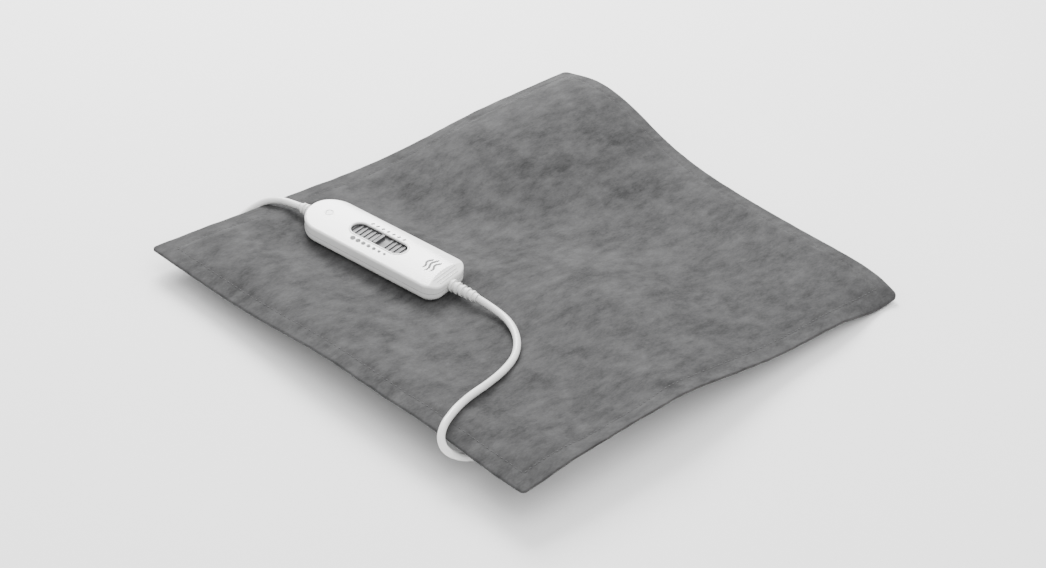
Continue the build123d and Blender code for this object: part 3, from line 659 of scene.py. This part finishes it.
# ---------------------------------------------------------------- indicator ring
# Small moulded ring round the indicator lens.
indicator = bmesh.new()
ring_loops = []
for radius, rise in ((2.55, -0.6), (2.6, 0.02), (2.9, 0.18), (3.3, 0.16), (3.6, -0.1), (3.6, -0.6)):
    made = bmesh.ops.create_circle(indicator, segments=40, radius=radius,
                                   matrix=Matrix.Translation((-49.5, 0, control_height + rise)))
    ring_loops.append(made["verts"])
for one, two in zip(ring_loops, (*ring_loops[1:], ring_loops[0])):
    edges = [e for e in indicator.edges if set(e.verts) <= set(one) or set(e.verts) <= set(two)]
    bmesh.ops.bridge_loops(indicator, edges=edges)
bmesh.ops.recalc_face_normals(indicator, faces=indicator.faces)
bmesh.ops.scale(indicator, vec=(mm, mm, mm), verts=indicator.verts)
bmesh.ops.transform(indicator, matrix=control, verts=indicator.verts)
add_piece("indicator_ring", indicator, gloss_white)

# ---------------------------------------------------------------- finishes of the solid pieces
# Every moulded, turned or pressed piece gets the finish of what it is made of.
slider_grey = finish("slider_grey", (0.045, 0.045, 0.047), (0.075, 0.075, 0.078), (0.42, 0.55),
                     180.0, 0.00006)
soft_relief = finish("white_relief", (0.70, 0.70, 0.69), (0.79, 0.79, 0.78), (0.38, 0.5), 90.0, 0.00005)
lens_clear = finish("indicator_lens_tint", (0.36, 0.37, 0.36), (0.50, 0.51, 0.50), (0.12, 0.2), 60.0, 0.00002,
                    Coat_Weight=0.5)
inlet_grey = finish("inlet_plastic", (0.68, 0.68, 0.67), (0.78, 0.78, 0.77), (0.35, 0.5), 120.0, 0.00008)
latch_grey = finish("latch_plastic", (0.30, 0.30, 0.31), (0.38, 0.38, 0.39), (0.4, 0.55), 200.0, 0.00006)
brass = finish("brass_pressed", (0.55, 0.40, 0.17), (0.72, 0.55, 0.27), (0.25, 0.42), 220.0, 0.00003,
               Metallic=1.0)
steel = finish("steel_plated", (0.50, 0.50, 0.51), (0.66, 0.66, 0.67), (0.25, 0.4), 260.0, 0.00003,
               Metallic=1.0)
felt = finish("white_felt", (0.55, 0.55, 0.53), (0.72, 0.72, 0.70), (0.9, 1.0), 700.0, 0.0006,
              Sheen_Weight=0.2)
wire = finish("wire_jacket", (0.42, 0.30, 0.26), (0.52, 0.38, 0.33), (0.5, 0.6), 300.0, 0.00008)
board = finish("board_green", (0.02, 0.10, 0.045), (0.03, 0.15, 0.07), (0.3, 0.45), 240.0, 0.00003)
black_case = finish("component_case", (0.02, 0.02, 0.02), (0.05, 0.05, 0.05), (0.4, 0.6), 300.0, 0.00006)
glass = finish("fuse_glass", (0.55, 0.60, 0.58), (0.66, 0.70, 0.68), (0.06, 0.14), 80.0, 0.00002,
               Coat_Weight=0.5)
tie_black = finish("tie_plastic", (0.03, 0.03, 0.03), (0.06, 0.06, 0.06), (0.45, 0.6), 350.0, 0.0001)
plug_white = finish("plug_plastic", (0.70, 0.70, 0.69), (0.79, 0.79, 0.78), (0.34, 0.46), 110.0, 0.00006)
node_finishes = {
    "control_top_shell": gloss_white, "control_bottom_shell": gloss_white,
    "slider_knob": slider_grey, "slider_carrier": slider_grey, "indicator_lens": lens_clear,
    "relief_pad_side": soft_relief, "relief_mains_side": soft_relief, "coupling_strain_relief": soft_relief,
    "coupling_body": inlet_grey, "inlet_body": inlet_grey, "inlet_backing": inlet_grey,
    "coupling_latch": latch_grey, "inlet_pins": brass, "coupling_contacts": brass, "slider_wipers": brass,
    "contact_tracks": brass, "plug_pins": steel, "inlet_rivets": steel, "shell_screws": steel,
    "detent_spring": steel, "upper_felt": felt, "lower_felt": felt, "heating_wire": wire,
    "thermal_cutouts": steel, "circuit_board": board, "power_switch": black_case, "capacitor": black_case,
    "fuse": glass, "terminal_blocks": latch_grey, "lead_cores": wire, "coil_tie": tie_black,
    "plug_body": plug_white, "pad_lead": white_cord, "mains_lead": white_cord, "mains_coil": white_cord,
    "plug_tail": white_cord, "top_cover": grey_plush, "bottom_cover": grey_plush,
}
for node_name, material in node_finishes.items():
    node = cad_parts[node_name]
    if not node.material_slots:
        node.data.materials.append(material)
    for node_slot in node.material_slots:
        node_slot.material = material

# ---------------------------------------------------------------- floor and light
# Plain pale floor and soft studio light from above, the left and behind.
floor_shape = bmesh.new()
bmesh.ops.create_grid(floor_shape, x_segments=1, y_segments=1, size=6.0)
bmesh.ops.translate(floor_shape, vec=(0, 0, -0.0003), verts=floor_shape.verts)
floor_mesh = bpy.data.meshes.new("floor")
floor_shape.to_mesh(floor_mesh)
floor_shape.free()
floor_pale = finish("floor_pale", (0.90, 0.90, 0.90), (0.92, 0.92, 0.92), (0.85, 0.95), 3.0, 0.00001)
floor_mesh.materials.append(floor_pale)
floor = bpy.data.objects.new("floor", floor_mesh)
bpy.context.scene.collection.objects.link(floor)

for name, place, size, power in (
    ("key_light", (-1.3, 0.7, 1.3), 1.0, 90.0),
    ("fill_light", (1.5, -1.0, 1.6), 1.6, 10.0),
    ("top_light", (0.1, 0.1, 2.1), 2.0, 24.0),
):
    light = bpy.data.lights.new(name, "AREA")
    light.size = size
    light.energy = power
    lamp = bpy.data.objects.new(name, light)
    aim = (Vector((0, 0, 0)) - Vector(place)).to_track_quat("-Z", "Y").to_matrix().to_4x4()
    lamp.matrix_world = Matrix.Translation(place) @ aim
    bpy.context.scene.collection.objects.link(lamp)
sky = bpy.data.worlds.new("studio")
sky.use_nodes = True
sky.node_tree.nodes["Background"].inputs["Color"].default_value = (1.0, 1.0, 1.0, 1)
sky.node_tree.nodes["Background"].inputs["Strength"].default_value = 1.35
bpy.context.scene.world = sky
